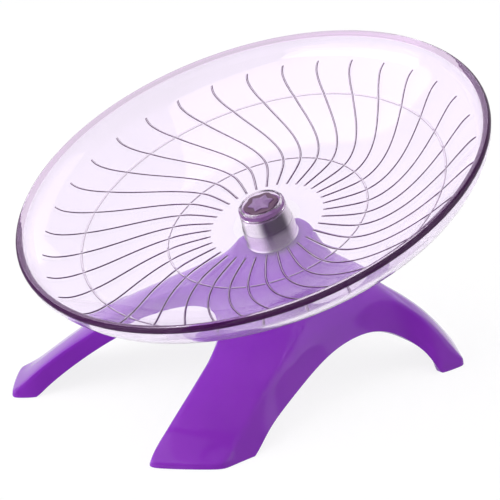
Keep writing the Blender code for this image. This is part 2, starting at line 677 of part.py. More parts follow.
def main():
    clear = plastic("clear_lavender", (0.86, 0.80, 1.0), 0.05, transmission=1.0)
    purple = plastic("purple_plastic", (0.27, 0.06, 0.50), 0.15)
    silver = plastic("silver_metal", (0.62, 0.60, 0.65), 0.25, metallic=1.0)
    steel = plastic("steel", (0.55, 0.55, 0.57), 0.2, metallic=1.0)
    brass = plastic("brass", (0.60, 0.45, 0.20), 0.35, metallic=1.0)

    axis = bpy.data.objects.new("saucer_axis", None)
    PARTS.objects.link(axis)
    axis.location = (0.0, math.sin(TILT) * bowl_height(CURVE_RADIUS), FLOOR_HEIGHT)
    axis.rotation_euler = (TILT, 0.0, 0.0)
    axis_matrix = Matrix.Translation(axis.location) @ Matrix.Rotation(TILT, 4, "X")

    stand = make_stand(purple, axis_matrix)
    boss = cylinder("post_boss", POST_BOSS_RADIUS, -PLATEAU_DROP - STAND_WALL / 2, BOSS_FOOT, axis)
    bore = cylinder("post_bore", BEARING_BORE_RADIUS, -PLATEAU_DROP + OVERRUN, BOSS_FOOT - OVERRUN, axis)
    add_boolean(stand, ground_block("ground_trim"), "DIFFERENCE")
    add_boolean(stand, boss, "UNION")
    add_boolean(stand, bore, "DIFFERENCE")

    make_saucer(clear, axis)
    make_sleeve(silver, axis)
    make_cap(purple, axis)
    make_bearing("lower", LOWER_BEARING, steel, brass, axis)
    make_bearing("upper", UPPER_BEARING, steel, brass, axis)
    make_post(steel, axis)


reset_scene()
PARTS = make_collection("hamster_exercise_wheel")
CUTTERS = make_collection("cutters")
main()
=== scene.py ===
"""The looks of the hamster exercise wheel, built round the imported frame. Metres, +Z up."""

import math

import bmesh
import bpy
from mathutils import Matrix, Vector


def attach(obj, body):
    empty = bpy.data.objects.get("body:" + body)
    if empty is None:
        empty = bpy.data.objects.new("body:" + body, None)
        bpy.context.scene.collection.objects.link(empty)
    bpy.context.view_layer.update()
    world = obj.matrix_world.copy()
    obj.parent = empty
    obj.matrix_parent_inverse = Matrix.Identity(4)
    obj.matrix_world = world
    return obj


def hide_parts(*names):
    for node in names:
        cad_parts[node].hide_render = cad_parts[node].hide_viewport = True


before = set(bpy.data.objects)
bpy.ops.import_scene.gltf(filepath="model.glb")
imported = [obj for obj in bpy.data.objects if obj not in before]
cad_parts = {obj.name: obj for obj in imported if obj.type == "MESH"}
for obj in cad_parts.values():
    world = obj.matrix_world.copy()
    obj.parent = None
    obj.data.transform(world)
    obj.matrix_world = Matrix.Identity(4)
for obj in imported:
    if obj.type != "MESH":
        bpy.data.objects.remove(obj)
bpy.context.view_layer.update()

# The spin axis. On the wheel, heights run along it from the saucer's floor, and radii are taken from it.
TILT = math.radians(23.9)
FLOOR_HEIGHT = 0.0557
BOWL_RISE = 0.0201
RIM_FLARE = 0.0045
FLOOR_SETBACK = math.sin(TILT) * (BOWL_RISE + RIM_FLARE)
TO_AXIS = Matrix.Translation((0, FLOOR_SETBACK, FLOOR_HEIGHT)) @ Matrix.Rotation(TILT, 4, "X")

# The saucer's section
SAUCER_RADIUS = 0.0890
LIP_RADIUS = 0.0014
CURVE_RADIUS = SAUCER_RADIUS - LIP_RADIUS
SAUCER_WALL = 0.0020
FLAT_RADIUS = 0.0385
BOWL_POWER = 1.83
SLOPE_STEP = 0.0005

# Ribs and ring lines
RIB_START = 0.0223
RIB_END = 0.0820
RIB_COUNT = 34
RIB_PITCH = 2 * math.pi / RIB_COUNT
RIB_PHASE = 0.56 * RIB_PITCH
RIB_HALF = 0.00042
RIB_HEIGHT = 0.00034
RIB_DIP_HALF = 1.6 * RIB_HALF
RING_RADIUS = 0.0694
LINE_RADII = (FLAT_RADIUS, RING_RADIUS)
RING_HALF = 0.00038
RING_GAP = 0.0003

# A rib's course, with its turns in degrees: a swirl, a hook back at its tip, and a bow on each side of the
# inner ring line
SWIRL_START = 0.0340
SWIRL_TURN = 24.3
HOOK_LENGTH = 0.0040
HOOK_TURN = 0.6
INNER_BOW = 0.7
OUTER_BOW = 1.0

# Where the saucer's mesh has its rings of points
LEAD_RADIUS = RIB_START - 0.0006
ROUND_END_SHARES = (0.12, 0.35, 0.65, 1.0)
RING_SHARES = (-1, -0.85, -0.6, 0, 0.6, 0.85, 1)
INNER_STEPS = 10
MIDDLE_STEPS = 24
OUTER_STEPS = 10
RIM_RADII = (0.0826, 0.0832, 0.0838, 0.0844, 0.0850, 0.0856)
UNDERSIDE_RADII = (0.0866, 0.0858, 0.0850, 0.0842, 0.0832, RIB_END, 0.080, 0.077, 0.073, 0.069, 0.065, 0.060,
                   0.055, 0.050, 0.045, 0.042, 0.040, FLAT_RADIUS, 0.034, 0.028, RIB_START, 0.016)
FLOOR_RADII = (0.013, 0.018)

# Points across a rib: how far from its middle, in half widths, and how much of its height
ACROSS = ((-1.0, 0.0), (-0.62, 0.36), (-0.3, 0.84), (0.0, 1.0), (0.3, 0.84), (0.62, 0.36), (1.0, 0.0))

# Columns of faces in a rib's pitch. The gaps lie between a rib and the ends of the ring lines. A rib's crest
# and a ring line's middle carry the same painted highlight; the rib's other columns and the ring line's
# edges carry painted shade.
RIB_COLUMNS = range(2, 8)
PAINTED_HIGHLIGHT_COLUMNS = (4, 5)
GAP_COLUMNS = (1, 8)
COLUMNS_BETWEEN = 4
RING_MIDDLE_SHARE = 0.65

# The saucer's plastics, in the order of its material slots: name, colour of the light that comes through,
# tint of the gloss, diffuse colour, its share, and whether it shows from outside alone. The diffuse colour
# is a faint real milky tint on the bowl and boss, a painted highlight on rib crests and ring-line middles,
# painted shade on rib flanks and ring-line edges, and painted shade over the thick lip's deeper tint on the
# lip.
BOWL, PAINTED_HIGHLIGHT, PAINTED_SHADE_FLANK, RING_EDGE_PAINTED_SHADE, LIP_TOP_TINT_AND_SHADE, LIP_SIDE_PAINTED_SHADE, BOSS = range(7)
SAUCER_PLASTICS = (
    ("bowl_plastic", (0.940, 0.866, 0.988), (0.85, 0.75, 0.90), (0.88, 0.76, 0.96), 0.07, False),
    ("rib_painted_highlight_plastic", (0.96, 0.90, 0.98), (1.0, 0.95, 1.0), (0.85, 0.68, 0.92), 0.35, False),
    ("rib_painted_shade_plastic", (0.92, 0.75, 0.94), (0.6, 0.3, 0.6), (0.050, 0.002, 0.060), 0.94, False),
    ("ring_painted_shade_plastic", (0.95, 0.86, 0.97), (0.8, 0.6, 0.8), (0.09, 0.02, 0.10), 0.42, False),
    ("lip_tint_and_painted_shade_plastic", (0.950, 0.870, 0.990), (0.8, 0.45, 0.8), (0.16, 0.01, 0.18), 0.26, True),
    ("lip_side_painted_shade_plastic", (0.92, 0.75, 0.96), (0.5, 0.1, 0.55), (0.040, 0.0, 0.050), 0.96, True),
    ("boss_plastic", (0.955, 0.915, 0.965), (1.0, 1.0, 1.0), (0.5, 0.4, 0.55), 0.02, False),
)
LAMP_LIGHT_THROUGH = (0.93, 0.86, 0.96)

# The lip's arc in degrees, from the bowl over the top and down its outer side, and the plastics of its
# steps:
# painted shade over the lip's deeper tint on its top, near-black painted shade down its outer side
LIP_START, LIP_STOP = 195, -60
LIP_SLOTS = (BOWL, *[LIP_TOP_TINT_AND_SHADE] * 7, *[LIP_SIDE_PAINTED_SHADE] * 8, BOWL)

# The hub's clear boss
BOSS_TOP = 0.0082
BOSS_TOP_RADIUS = 0.0079
BOSS_TOP_ROUND = 0.0002
BOSS_SHOULDER = 0.0088
SHOULDER_DROP = 0.0014
SHOULDER_EDGE_DROP = 0.0009
SHOULDER_EDGE_INSET = 0.0001
BOSS_BASE_RADIUS = 0.0093
BOSS_FOOT_RADIUS = 0.0097
BOSS_FOOT_ROUND = 0.0003
BOSS_FILLET = 0.00025
BOSS_BORE = 0.0074
BOSS_HEIGHTS = (0.0045, 0.0025)
SKIRT_DEPTH = 0.0083
SKIRT_HEIGHTS = (-0.0035, -0.0050, -0.0065, -0.0075)

# The metal sleeve in it. Sleeve and cap reach a hair into the boss, so that no air is seen between them.
SLEEVE_TOP = 0.0050
SLEEVE_BORE = 0.0063
SLEEVE_CHAMFER = 0.0003
SLEEVE_COVER = 0.00015
SLEEVE_MIDDLE = 0.0025
SLEEVE_HEIGHTS = (0.0, -0.0020, -0.0045, -0.0065, -SKIRT_DEPTH)
FLANGE_RADIUS = 0.0100
FLANGE_ROUND = 0.0003
HUB_GAP = 0.0001
REACH = 0.00004

# The cap: its rings of points, as how far in from the lobed edge and how far below the face
CAP_FACE = 0.0079
CAP_RADIUS = 0.0067
CAP_LOBE = 0.0007
LOBES = 6
CAP_LIFT = 0.0002
CAP_SHOULDER_DROP = 0.0013
CAP_RINGS = ((0.0000, 0.0010), (0.0000, 0.0003), (0.0001, 0.0001), (0.0003, 0.0000), (0.0019, 0.0001))

# The star on the cap: its layers, as share of its size and height over the face
STAR_RADIUS = 0.0051
STAR_NOTCH = 0.0035
STAR_TURN = math.radians(50)
STAR_LAYERS = ((1.00, -0.0003), (0.97, 0.0002), (0.45, 0.0008))

# The stand
PLATEAU_DROP = 0.0105
PLATEAU_RADIUS = 0.0152
PEDESTAL_FLARE = 0.0060
PEDESTAL_ROOT_HEIGHT = 0.0372
PEDESTAL_ROOT_SLOPE = 0.12
STAND_WALL = 0.0024
STAND_REACH = 0.0985
STAND_SETBACK = -0.00225
EMBED = 0.0012
LEG_BULGE = 0.0016
POST_BORE = 0.0030
POST_BOSS_RADIUS = 0.0065
POST_BOSS_LENGTH = 0.0120
POST_BOSS_CHAMFER = 0.0004
POST_BOSS_SINK = 0.7 * STAND_WALL

# How sharp the stand's edges stay while it is smoothed
SMOOTHINGS = 3
LEG_SHARPNESS = 0.50
DOME_SHARPNESS = 0.35
TOE_SHARPNESS = 0.28
PLATEAU_SHARPNESS = 0.50

# The stand's lower and upper edge on the +X side, from front to back, as shares of STAND_REACH
STATION_SHARES = (
    ((0.000, -0.170, 0.279), (0.000, -0.155, 0.332)),
    ((0.100, -0.210, 0.268), (0.110, -0.195, 0.320)),
    ((0.180, -0.307, 0.229), (0.200, -0.295, 0.284)),
    ((0.240, -0.421, 0.174), (0.263, -0.415, 0.234)),
    ((0.280, -0.517, 0.123), (0.302, -0.525, 0.184)),
    ((0.310, -0.610, 0.070), (0.334, -0.625, 0.134)),
    ((0.328, -0.690, 0.022), (0.356, -0.705, 0.086)),
    ((0.324, -0.748, 0.000), (0.368, -0.752, 0.054)),
    ((0.386, -0.806, 0.000), (0.387, -0.801, 0.016)),
    ((0.486, -0.721, 0.000), (0.482, -0.715, 0.018)),
    ((0.574, -0.632, 0.000), (0.567, -0.625, 0.016)),
    ((0.577, -0.560, 0.000), (0.543, -0.566, 0.034)),
    ((0.577, -0.494, 0.000), (0.519, -0.492, 0.082)),
    ((0.540, -0.395, 0.056), (0.489, -0.400, 0.134)),
    ((0.505, -0.285, 0.089), (0.460, -0.310, 0.185)),
    ((0.470, -0.170, 0.119), (0.430, -0.180, 0.223)),
    ((0.430, -0.030, 0.156), (0.390, -0.050, 0.243)),
    ((0.405, 0.104, 0.184), (0.367, 0.080, 0.258)),
    ((0.400, 0.240, 0.194), (0.360, 0.220, 0.263)),
    ((0.405, 0.340, 0.177), (0.366, 0.330, 0.278)),
    ((0.425, 0.415, 0.142), (0.380, 0.410, 0.282)),
    ((0.465, 0.483, 0.088), (0.420, 0.470, 0.234)),
    ((0.515, 0.495, 0.055), (0.460, 0.515, 0.192)),
    ((0.569, 0.505, 0.000), (0.500, 0.560, 0.133)),
    ((0.576, 0.570, 0.000), (0.532, 0.600, 0.069)),
    ((0.575, 0.634, 0.000), (0.570, 0.632, 0.017)),
    ((0.481, 0.712, 0.000), (0.477, 0.706, 0.013)),
    ((0.392, 0.778, 0.000), (0.394, 0.772, 0.013)),
    ((0.335, 0.738, 0.000), (0.370, 0.726, 0.076)),
    ((0.326, 0.695, 0.030), (0.355, 0.675, 0.130)),
    ((0.310, 0.635, 0.095), (0.340, 0.625, 0.180)),
    ((0.285, 0.560, 0.165), (0.310, 0.540, 0.249)),
    ((0.240, 0.495, 0.230), (0.275, 0.480, 0.292)),
    ((0.165, 0.460, 0.270), (0.185, 0.443, 0.318)),
    ((0.000, 0.445, 0.290), (0.000, 0.430, 0.345)),
)

# The front and the back leg: the stations along its toe, and the pairs that face each other from toe to neck
LEG_STATIONS = (
    ((8, 9, 10), ((7, 11), (6, 12), (5, 13), (4, 14), (3, 15))),
    ((27, 26, 25), ((28, 24), (29, 23), (30, 22), (31, 21), (32, 20))),
)

# Points round a turned piece, and the angles past which an edge is drawn sharp
SLEEVE_POINTS = 128
CAP_POINTS = 144
POST_BOSS_POINTS = 64
SHARP_ANGLE = math.radians(35)
SAUCER_SHARP_ANGLE = math.radians(40)

# The camera, which stands where the photograph's did
CAMERA_PLACE = (0.3991, -0.3820, 0.2398)
CAMERA_LOOK = (-0.6806, 0.6539, -0.3305)
SENSOR_WIDTH = 36.0
LENS = 114.6

# The studio's lamps: name, place, what it is aimed at, size and watts
LAMPS = (
    ("key", (-0.83, -1.56, 1.90), (0, 0, 0.05), (3.6, 3.6), 52.0),
    ("low", (-0.55, -1.30, 0.30), (0, 0, 0.05), (1.8, 0.9), 12.0),
    ("fill", (0.3, 1.6, 1.2), (0, 0, 0.04), (2.6, 1.6), 14.0),
)

# The backdrop and the floor. The backdrop's dark side shows in gloss alone.
WORLD_LEVEL = 0.43
DARK_SIDE = Vector((0.70, -0.67, 0.25)).normalized()
DARK_SIDE_SHARE = 0.7
DARK_SIDE_FADE = (0.35, 0.85)
FLOOR_HALF_WIDTH = 3.0
FLOOR_DROP = 0.0002
FLOOR_GLOW = 1.06
FLOOR_GLOW_SHARE = 0.8

# The sleeve's metal: its colour goes from a painted dark reflection to a painted highlight and back three
# times round the spin axis
SLEEVE_METALLIC = 0.05
SLEEVE_PAINTED_DARK_REFLECTION = (0.075, 0.045, 0.095)
SLEEVE_PAINTED_HIGHLIGHT = (0.98, 0.96, 0.98)
SLEEVE_PAINTED_BANDS = 3
SLEEVE_HIGHLIGHT_TURN = math.radians(63)
SLEEVE_HIGHLIGHT_FADE = (-0.45, 0.80)

# How a noise is stretched into tool marks, and the part of its values that is spread over a range of looks
TOOL_MARKS = (0.05, 0.4, 1.0)
NOISE_SPAN = (0.3, 0.7)


def camera_from_photo():
    """The photograph's viewpoint: 46 degrees round from the front, 19 degrees above level."""
    data = bpy.data.cameras.new("camera")
    data.sensor_width = SENSOR_WIDTH
    data.lens = LENS
    camera = bpy.data.objects.new("camera", data)
    bpy.context.scene.collection.objects.link(camera)
    turn = Vector(CAMERA_LOOK).to_track_quat("-Z", "Y").to_matrix().to_4x4()
    camera.matrix_world = Matrix.Translation(CAMERA_PLACE) @ turn
    bpy.context.scene.camera = camera


def lamp(name, place, target, size, watts):
    """A soft rectangular lamp, aimed at the target."""
    data = bpy.data.lights.new(name, "AREA")
    data.shape = "RECTANGLE"
    data.size, data.size_y = size
    data.energy = watts
    light = bpy.data.objects.new(name, data)
    bpy.context.scene.collection.objects.link(light)
    aim = Vector(target) - Vector(place)
    light.matrix_world = Matrix.Translation(place) @ aim.to_track_quat("-Z", "Y").to_matrix().to_4x4()


def studio():
    """A white studio: the backdrop is white to the eye, in gloss and through clear plastic."""
    scene = bpy.context.scene
    scene.view_settings.view_transform = "Standard"
    world = bpy.data.worlds.new("studio")
    scene.world = world
    world.use_nodes = True
    nodes, links = world.node_tree.nodes, world.node_tree.links
    background = nodes["Background"]
    background.inputs["Color"].default_value = (1.0, 1.0, 1.0, 1.0)
    level = map_range(nodes, links, seen_ray(nodes, links), (0.0, 1.0), (WORLD_LEVEL, 1.0))
    strength = maths(nodes, links, "MULTIPLY", level, unlit_side(nodes, links))
    links.new(strength, background.inputs["Strength"])
    for values in LAMPS:
        lamp(*values)

    bm = bmesh.new()
    bmesh.ops.create_grid(bm, x_segments=1, y_segments=1, size=FLOOR_HALF_WIDTH)
    mesh = bpy.data.meshes.new("floor")
    bm.to_mesh(mesh)
    bm.free()
    floor = bpy.data.objects.new("floor", mesh)
    scene.collection.objects.link(floor)
    floor.location.z = -FLOOR_DROP
    mesh.materials.append(floor_white())


def set_or_link(links, socket, value):
    """Gives a socket its value, which is another socket or a constant."""
    if isinstance(value, bpy.types.NodeSocket):
        links.new(value, socket)
    else:
        socket.default_value = value


def maths(nodes, links, operation, *values):
    """The result of a Math node on one value or more."""
    node = nodes.new("ShaderNodeMath")
    node.operation = operation
    for socket, value in zip(node.inputs, values):
        set_or_link(links, socket, value)
    return node.outputs[0]


def map_range(nodes, links, value, source, target, smooth=False):
    """The value, taken from the source span to the target span."""
    node = nodes.new("ShaderNodeMapRange")
    if smooth:
        node.interpolation_type = "SMOOTHSTEP"
    node.inputs["From Min"].default_value, node.inputs["From Max"].default_value = source
    node.inputs["To Min"].default_value, node.inputs["To Max"].default_value = target
    links.new(value, node.inputs["Value"])
    return node.outputs["Result"]


def mix_shaders(nodes, links, share, first, second):
    """The first shader with a share of the second."""
    node = nodes.new("ShaderNodeMixShader")
    set_or_link(links, node.inputs["Fac"], share)
    links.new(first, node.inputs[1])
    links.new(second, node.inputs[2])
    return node.outputs["Shader"]


def seen_ray(nodes, links):
    """1 for what the camera sees, also in gloss and through clear plastic."""
    path = nodes.new("ShaderNodeLightPath")
    value = path.outputs["Is Camera Ray"]
    for name in ("Is Transmission Ray", "Is Glossy Ray"):
        value = maths(nodes, links, "MAXIMUM", value, path.outputs[name])
    return value


def unlit_side(nodes, links):
    """How bright the studio is. In gloss it is darker towards its unlit side, which is behind the camera."""
    place = nodes.new("ShaderNodeTexCoord")
    toward = nodes.new("ShaderNodeVectorMath")
    toward.operation = "DOT_PRODUCT"
    links.new(place.outputs["Generated"], toward.inputs[0])
    toward.inputs[1].default_value = DARK_SIDE
    dark_span = (0.0, DARK_SIDE_SHARE)
    dark = map_range(nodes, links, toward.outputs["Value"], DARK_SIDE_FADE, dark_span, smooth=True)
    path = nodes.new("ShaderNodeLightPath")
    mirrored = maths(nodes, links, "MINIMUM", path.outputs["Glossy Depth"], 1.0)
    return maths(nodes, links, "SUBTRACT", 1.0, maths(nodes, links, "MULTIPLY", dark, mirrored))


def floor_white():
    """Pale to the light, white to the eye, with a faint shadow."""
    made, nodes, links, shader = material("floor_white", (0.80, 0.80, 0.80), roughness=0.9)
    shader.inputs["Specular IOR Level"].default_value = 0.0
    glow = nodes.new("ShaderNodeEmission")
    glow.inputs["Strength"].default_value = FLOOR_GLOW
    share = maths(nodes, links, "MULTIPLY", seen_ray(nodes, links), FLOOR_GLOW_SHARE)
    looks = mix_shaders(nodes, links, share, shader.outputs["BSDF"], glow.outputs["Emission"])
    links.new(looks, nodes["Material Output"].inputs["Surface"])
    return made


def material(name, colour, roughness, metallic=0.0):
    """A new material with its nodes, its links and its shader."""
    made = bpy.data.materials.new(name)
    made.use_nodes = True
    nodes, links = made.node_tree.nodes, made.node_tree.links
    shader = nodes["Principled BSDF"]
    shader.inputs["Base Color"].default_value = (*colour, 1.0)
    shader.inputs["Roughness"].default_value = roughness
    shader.inputs["Metallic"].default_value = metallic
    return made, nodes, links, shader


def noise(nodes, links, scale, detail=3.0, stretch=(1.0, 1.0, 1.0)):
    """A noise fixed to the object."""
    place = nodes.new("ShaderNodeTexCoord")
    mapping = nodes.new("ShaderNodeMapping")
    mapping.inputs["Scale"].default_value = stretch
    texture = nodes.new("ShaderNodeTexNoise")
    texture.inputs["Scale"].default_value = scale
    texture.inputs["Detail"].default_value = detail
    links.new(place.outputs["Object"], mapping.inputs["Vector"])
    links.new(mapping.outputs["Vector"], texture.inputs["Vector"])
    return texture.outputs["Fac"]


def vary_roughness(nodes, links, shader, value, low, high):
    """Lets a noise vary the shader's roughness from low to high."""
    links.new(map_range(nodes, links, value, NOISE_SPAN, (low, high)), shader.inputs["Roughness"])


def vary_colour(nodes, links, shader, value, first, second):
    """Lets a noise vary the shader's colour from the first to the second."""
    ramp = nodes.new("ShaderNodeValToRGB")
    for element, position, colour in zip(ramp.color_ramp.elements, NOISE_SPAN, (first, second)):
        element.position = position
        element.color = (*colour, 1.0)
    links.new(value, ramp.inputs["Fac"])
    links.new(ramp.outputs["Color"], shader.inputs["Base Color"])


def bump(nodes, links, shader, value, distance, strength):
    """Lets a noise raise the surface a little."""
    relief = nodes.new("ShaderNodeBump")
    relief.inputs["Strength"].default_value = strength
    relief.inputs["Distance"].default_value = distance
    links.new(value, relief.inputs["Height"])
    links.new(relief.outputs["Normal"], shader.inputs["Normal"])


def darkened(colour, share):
    return tuple(share * channel for channel in colour)


def purple_plastic():
    """The stand's gloss moulding: a slight flow mottle in the colour, and faint orange peel."""
    made, nodes, links, shader = material("purple_plastic", (0.225, 0.025, 0.455), roughness=0.14)
    mottle = noise(nodes, links, scale=35.0)
    vary_colour(nodes, links, shader, mottle, (0.208, 0.021, 0.430), (0.238, 0.029, 0.465))
    vary_roughness(nodes, links, shader, noise(nodes, links, scale=180.0), low=0.07, high=0.12)
    bump(nodes, links, shader, noise(nodes, links, scale=420.0), distance=0.00004, strength=0.12)
    shader.inputs["Specular IOR Level"].default_value = 0.2
    return made


def saucer_plastic(name, through, gloss, tint_and_painted_tone, share, outside_only):
    """Clear plastic with a share of a diffuse colour (a real tint, a painted highlight or painted shade, by
    slot), that lets the lamps light what lies under it.
    """
    made, nodes, links, clear = material(name, through, roughness=0.0)
    clear.inputs["Specular Tint"].default_value = (*gloss, 1.0)
    clear.inputs["Transmission Weight"].default_value = 1.0
    clear.inputs["IOR"].default_value = 1.49
    vary_roughness(nodes, links, clear, noise(nodes, links, scale=120.0), low=0.0, high=0.03)

    tinted_and_painted = nodes.new("ShaderNodeBsdfPrincipled")
    tinted_and_painted.inputs["Roughness"].default_value = 0.3
    tinted_and_painted.inputs["Specular IOR Level"].default_value = 0.05
    vary_colour(nodes, links, tinted_and_painted, noise(nodes, links, scale=60.0), darkened(tint_and_painted_tone, 0.8), tint_and_painted_tone)
    # On the lip the painted shade shows on the outward faces alone.
    if outside_only:
        side = nodes.new("ShaderNodeNewGeometry")
        share = map_range(nodes, links, side.outputs["Backfacing"], (0.0, 1.0), (share, 0.0))
    looks = mix_shaders(nodes, links, share, clear.outputs["BSDF"], tinted_and_painted.outputs["BSDF"])

    path = nodes.new("ShaderNodeLightPath")
    tinted = nodes.new("ShaderNodeBsdfTransparent")
    tinted.inputs["Color"].default_value = (*LAMP_LIGHT_THROUGH, 1.0)
    lit = mix_shaders(nodes, links, path.outputs["Is Shadow Ray"], looks, tinted.outputs["BSDF"])
    links.new(lit, nodes["Material Output"].inputs["Surface"])
    return made


def sleeve_metal_painted_reflections():
    """Satin turned metal, with a painted highlight and a painted dark reflection by turns round the spin
    axis.
    """
    made, nodes, links, shader = material("sleeve_metal_painted_reflections", (0.8, 0.78, 0.82), roughness=0.36,
                                          metallic=SLEEVE_METALLIC)
    place = nodes.new("ShaderNodeTexCoord")
    on_axis = nodes.new("ShaderNodeMapping")
    on_axis.vector_type = "TEXTURE"
    on_axis.inputs["Location"].default_value = (0, FLOOR_SETBACK, FLOOR_HEIGHT)
    on_axis.inputs["Rotation"].default_value = (TILT, 0, 0)
    links.new(place.outputs["Object"], on_axis.inputs["Vector"])
    turn = nodes.new("ShaderNodeTexGradient")
    turn.gradient_type = "RADIAL"
    links.new(on_axis.outputs["Vector"], turn.inputs["Vector"])
    angle = maths(nodes, links, "MULTIPLY_ADD", turn.outputs["Fac"], SLEEVE_PAINTED_BANDS * 2 * math.pi, SLEEVE_HIGHLIGHT_TURN)
    painted_band_wave = maths(nodes, links, "COSINE", angle)
    # Base colour: a painted highlight and a painted dark reflection by turns round the spin axis.
    painted_reflection_mix = nodes.new("ShaderNodeMix")
    painted_reflection_mix.data_type = "RGBA"
    painted_reflection_mix.inputs["A"].default_value = (*SLEEVE_PAINTED_DARK_REFLECTION, 1.0)
    painted_reflection_mix.inputs["B"].default_value = (*SLEEVE_PAINTED_HIGHLIGHT, 1.0)
    links.new(map_range(nodes, links, painted_band_wave, SLEEVE_HIGHLIGHT_FADE, (0.0, 1.0), smooth=True), painted_reflection_mix.inputs["Factor"])
    links.new(painted_reflection_mix.outputs["Result"], shader.inputs["Base Color"])
    marks = noise(nodes, links, scale=700.0, detail=4.0, stretch=TOOL_MARKS)
    vary_roughness(nodes, links, shader, marks, low=0.30, high=0.42)
    return made


def turned_metal(name, colour, low, high):
    """Turned metal: fine tool marks and a little tarnish."""
    made, nodes, links, shader = material(name, colour, roughness=(low + high) / 2, metallic=1.0)
    vary_colour(nodes, links, shader, noise(nodes, links, scale=90.0), darkened(colour, 0.82), colour)
    marks = noise(nodes, links, scale=900.0, detail=4.0, stretch=TOOL_MARKS)
    vary_roughness(nodes, links, shader, marks, low, high)
    bump(nodes, links, shader, marks, distance=0.00003, strength=0.15)
    return made


def cap_plastic(name, colour):
    """The cap's moulding, for its face or its skirt: a mottle in the colour and in the gloss."""
    made, nodes, links, shader = material(name, colour, roughness=0.2)
    vary_colour(nodes, links, shader, noise(nodes, links, scale=120.0), darkened(colour, 0.75), colour)
    vary_roughness(nodes, links, shader, noise(nodes, links, scale=500.0), low=0.16, high=0.28)
    return made


def star_plastic():
    """The star's moulding, paler than the cap face's painted shade, with a fine mottle."""
    made, nodes, links, shader = material("star_plastic", (0.27, 0.14, 0.34), roughness=0.2)
    mottle = noise(nodes, links, scale=200.0)
    vary_colour(nodes, links, shader, mottle, (0.19, 0.095, 0.25), (0.27, 0.145, 0.34))
    return made


def make_piece(name, bm, matrix, body, node, slot, *materials, sharp_angle=SHARP_ANGLE):
    """Makes a piece that rides its body. It is smooth but for sharp edges, or faceted without an angle."""
    bmesh.ops.recalc_face_normals(bm, faces=bm.faces)
    bm.transform(matrix)
    mesh = bpy.data.meshes.new(name)
    bm.to_mesh(mesh)
    bm.free()
    if sharp_angle is not None:
        mesh.shade_smooth()
        mesh.set_sharp_from_angle(angle=sharp_angle)
    obj = bpy.data.objects.new(name, mesh)
    bpy.context.scene.collection.objects.link(obj)
    for made in materials:
        mesh.materials.append(made)
    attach(obj, body)
    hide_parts(node)


def turned_piece(name, profile, count, body, node, slot, made):
    """A turned solid. The profile of (radius, height) is closed on itself."""
    bm = bmesh.new()
    loops = [[bm.verts.new(point) for point in plain_points(radius, z, count)] for radius, z in profile]
    for first, second in zip(loops, loops[1:] + loops[:1]):
        skin(bm, first, second)
    make_piece(name, bm, TO_AXIS, body, node, slot, made)


def on_circle(radius, angle, z):
    return radius * math.cos(angle), radius * math.sin(angle), z


def plain_points(radius, z, count):
    return [on_circle(radius, 2 * math.pi * i / count, z) for i in range(count)]


def skin(bm, first, second):
    """Faces between two rings of as many points."""
    count = len(first)
    return [bm.faces.new((first[i], first[(i + 1) % count], second[(i + 1) % count], second[i]))
            for i in range(count)]


def arc(centre, radius, start, end, steps):
    """Points of an arc in a profile. The angles are in degrees, and 0 points away from the axis."""
    angles = [math.radians(start + (end - start) * i / steps) for i in range(steps + 1)]
    return [(centre[0] + radius * math.cos(a), centre[1] + radius * math.sin(a)) for a in angles]


def share_between(value, start, end):
    """How far the value has come from start to end, held between 0 and 1."""
    return min(max((value - start) / (end - start), 0.0), 1.0)


def bowl_height(radius):
    """Height of the saucer's inner surface above its floor."""
    if radius <= FLAT_RADIUS:
        return 0.0
    height = BOWL_RISE * ((radius - FLAT_RADIUS) / (CURVE_RADIUS - FLAT_RADIUS)) ** BOWL_POWER
    if radius > RIB_END:
        height += RIM_FLARE * ((radius - RIB_END) / (CURVE_RADIUS - RIB_END)) ** 2
    return height


def underside_point(radius):
    """The point of the underside that lies one wall below this radius of the inner surface, square to it."""
    slope = (bowl_height(radius + SLOPE_STEP) - bowl_height(radius - SLOPE_STEP)) / (2 * SLOPE_STEP)
    length = math.hypot(slope, 1.0)
    return radius + SAUCER_WALL * slope / length, bowl_height(radius) - SAUCER_WALL / length


def swirl(radius):
    """Angle that a rib has turned through by this radius."""
    share = share_between(radius, SWIRL_START, RIB_END)
    hook = share_between(radius, RIB_END - HOOK_LENGTH, RIB_END)
    inner = share_between(radius, RIB_START, FLAT_RADIUS)
    outer = share_between(radius, FLAT_RADIUS, RING_RADIUS)
    turned = SWIRL_TURN * share * share * (3 - 2 * share) - HOOK_TURN * hook ** 2
    bow = OUTER_BOW * math.sin(math.pi * outer) - INNER_BOW * math.sin(math.pi * inner)
    return math.radians(turned + bow)


def rib_profile(radius):
    """How much of a rib's height it has at this radius: it ends round, and dips at a ring line."""
    into = min(radius - RIB_START, RIB_END - radius)
    if into <= 0:
        return 0.0
    share = min(into / (2 * RIB_HALF), 1.0)
    dip = min(abs(radius - middle) for middle in LINE_RADII) / RIB_DIP_HALF
    return math.sqrt(1 - (1 - share) ** 2) * min(dip, 1.0)


def ring_profile(radius):
    """How much of a ring line's height there is at this radius."""
    away = min(abs(radius - middle) for middle in LINE_RADII) / RING_HALF
    return math.cos(away ** 2 * math.pi / 2) if away < 1 else 0.0


